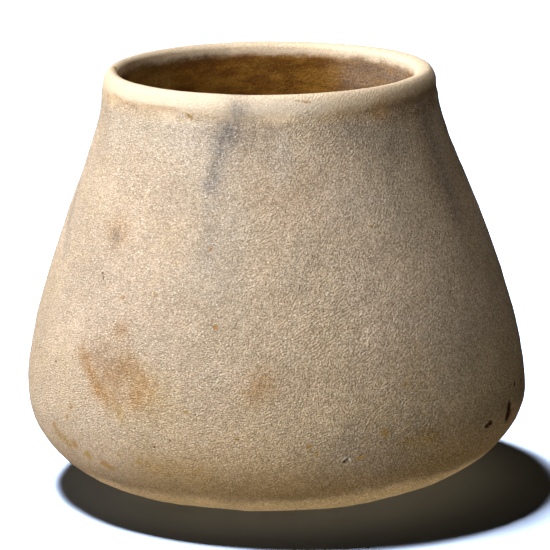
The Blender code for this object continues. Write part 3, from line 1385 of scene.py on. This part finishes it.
    def fleck(self, bench: Bench, jar: Jar, place: Socket, colour: Socket) -> Socket:
        """Lay the small marks and the pits' dark floors over the stone, with ragged edges.

        Args:
            bench: the material's bench.
            jar: gives the marks' places.
            place: where the patterns are read.
            colour: the stone without them.

        Returns:
            The colour.
        """
        inputs = {"Vector": place, "Scale": 1.0 / self.fleck_rag_size,
                  "Detail": self.fleck_rag_detail}
        rough = bench.node("ShaderNodeTexNoise", inputs).outputs["Color"]
        shake = bench.vector("SUBTRACT", rough, (0.5, 0.5, 0.5))
        ragged = bench.vector("ADD", place, bench.scaled(shake, self.fleck_rag))
        shape = FleckEffect().build()
        pits = tuple(Fleck(pit.name, pit.start, pit.radius, pit.end, pit.depth) for pit in PITS)
        for tint, flecks in FLECKS.items():
            masks = []
            for fleck in flecks + (pits if tint is Tint.DARK else ()):
                depth = fleck.depth * MM / 2
                inputs = {
                    "Vector": ragged, "Radius": fleck.radius * MM,
                    "Start": jar.spot(fleck.start, depth),
                    "End": jar.spot(fleck.end or fleck.start, depth),
                }
                made = bench.node("ShaderNodeGroup", inputs, node_tree=shape, label=fleck.name)
                masks.append(made.outputs[0])
            if masks:
                total = masks[0]
                for mask in masks[1:]:
                    total = bench.math("MAXIMUM", total, mask)
                share = 1.0 if tint is Tint.DARK else self.fleck_share
                total = bench.product(total, share)
                colour = bench.blend(total, colour, getattr(self, tint.value))
        return colour


@dataclass(frozen=True)
class FloorFinish:
    """Plain pale matt paper, bright to look at and dimmer in what it throws back."""

    colour: Colour = (0.20, 0.245, 0.34, 1.0)
    bounce: Colour = (0.0050, 0.0043, 0.0032, 1.0)
    roughness: float = 0.9

    def build(self) -> bpy.types.Material:
        """Make the floor's material.

        Returns:
            The material.
        """
        material = bpy.data.materials.new("pale_paper")
        material.use_nodes = True
        bench = Bench(material.node_tree)
        shader = material.node_tree.nodes["Principled BSDF"]
        seen = bench.node("ShaderNodeLightPath", {}).outputs["Is Camera Ray"]
        bench.link(bench.blend(seen, self.bounce, self.colour), shader.inputs["Base Color"])
        shader.inputs["Roughness"].default_value = self.roughness
        shader.inputs["Specular IOR Level"].default_value = 0.0
        return material


class Lit(Enum):
    """What a lamp lights."""

    ALL = "everything"
    STONE = "the jar alone"
    FLOOR = "the floor alone"


@dataclass(frozen=True)
class SoftLamp:
    """A square lamp that faces the jar from an azimuth and an elevation.

    Azimuth 0 is the photograph's side, and 90 is to its right. A lamp without gloss makes
    no highlight.
    """

    name: str
    azimuth: float
    elevation: float
    watts: float
    size: float
    lit: Lit = Lit.ALL
    distance: float = 1.3
    colour: Triple = (1.0, 1.0, 1.0)
    gloss: bool = True

    def build(self, target: Vector, stone: bpy.types.Object,
              floor: bpy.types.Object) -> bpy.types.Object:
        """Place the lamp.

        Args:
            target: the point that it faces.
            stone: the jar, which blocks each lamp and is lit by one for the stone.
            floor: the floor, which is lit by one for the floor.

        Returns:
            The lamp object.
        """
        around, up = math.radians(self.azimuth), math.radians(self.elevation)
        level = math.cos(up)
        away = Vector((math.sin(around) * level, -math.cos(around) * level, math.sin(up)))
        data = bpy.data.lights.new(self.name, "AREA")
        data.energy = self.watts
        data.size = self.size
        data.color = self.colour
        lamp = bpy.data.objects.new(self.name, data)
        lamp.location = target + away * self.distance
        lamp.rotation_mode = "QUATERNION"
        lamp.rotation_quaternion = away.to_track_quat("Z", "Y")
        lamp.visible_glossy = self.gloss
        bpy.context.scene.collection.objects.link(lamp)
        if self.lit is not Lit.ALL:
            lit = bpy.data.collections.new(self.name)
            lit.objects.link(stone if self.lit is Lit.STONE else floor)
            blocking = bpy.data.collections.new(self.name + ", blocked by")
            blocking.objects.link(stone)
            lamp.light_linking.receiver_collection = lit
            lamp.light_linking.blocker_collection = blocking
        return lamp


@dataclass(frozen=True)
class Studio:
    """Floor, lamps and the pale surroundings."""

    reach: float = 6.0
    ambient: Colour = (0.0165, 0.0138, 0.0090, 1.0)
    backdrop: Colour = (1.0, 1.0, 1.0, 1.0)
    lamps: tuple[SoftLamp, ...] = (
        SoftLamp("key from the left", -60.0, 30.0, 9.9, 0.50, Lit.STONE),
        SoftLamp("second key, nearer the front", -35.0, 20.0, 6.9, 0.40, Lit.STONE),
        SoftLamp("edge light from the left", -108.0, 30.0, 10.2, 0.50, Lit.STONE),
        SoftLamp("fill from the front", -8.0, 34.0, 3.9, 0.60, Lit.STONE),
        SoftLamp("fill from the right", 32.0, 34.0, 1.3, 0.40, Lit.STONE, 1.3, (1.0, 0.93, 0.74)),
        SoftLamp("top from behind", -125.0, 70.0, 48.0, 0.28, Lit.ALL, 3.0),
        SoftLamp("floor from behind", -125.0, 70.0, 900.0, 0.50, Lit.FLOOR, 3.0),
        SoftLamp("glow from the floor", 0.0, -89.0, 8.8, 0.30, Lit.STONE, gloss=False),
    )

    def floor(self) -> bpy.types.Object:
        """A wide flat floor at the foot.

        Returns:
            The floor, which isn't part of the object.
        """
        side = self.reach
        corners = [(-side, -side, 0.0), (side, -side, 0.0), (side, side, 0.0), (-side, side, 0.0)]
        mesh = bpy.data.meshes.new("floor")
        mesh.from_pydata(corners, [], [(0, 1, 2, 3)])
        mesh.materials.append(FloorFinish().build())
        floor = bpy.data.objects.new("floor", mesh)
        bpy.context.scene.collection.objects.link(floor)
        return floor

    def surroundings(self) -> None:
        """White where the camera sees past the floor, and dim as a light."""
        scene = bpy.context.scene
        scene.world = bpy.data.worlds.new("studio")
        scene.world.use_nodes = True
        bench = Bench(scene.world.node_tree)
        seen = bench.node("ShaderNodeLightPath", {}).outputs["Is Camera Ray"]
        background = scene.world.node_tree.nodes["Background"]
        bench.link(bench.blend(seen, self.ambient, self.backdrop), background.inputs["Color"])
        scene.view_settings.view_transform = "Standard"
        scene.view_settings.look = "None"

    def build(self, stone: bpy.types.Object) -> None:
        """Set up everything round the jar.

        Args:
            stone: the jar.
        """
        floor = self.floor()
        self.surroundings()
        low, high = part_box(NODE)
        for lamp in self.lamps:
            lamp.build((low + high) / 2, stone, floor)
            log.info("lamp %s", lamp.name)


def main() -> None:
    """Build the jar, the studio and the camera."""
    logging.basicConfig(level=logging.INFO, format="%(name)s: %(message)s")
    low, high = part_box(NODE)
    shape = JarShape(height=high.z - low.z, belly_radius=(high.y - low.y) / 2)
    camera = PhotoCamera(rim_height=shape.height)
    jar = Jar(shape, camera)
    stone = jar.build(StoneFinish().build(jar))
    Studio().build(stone)
    camera.build()


if __name__ == "__main__":
    main()
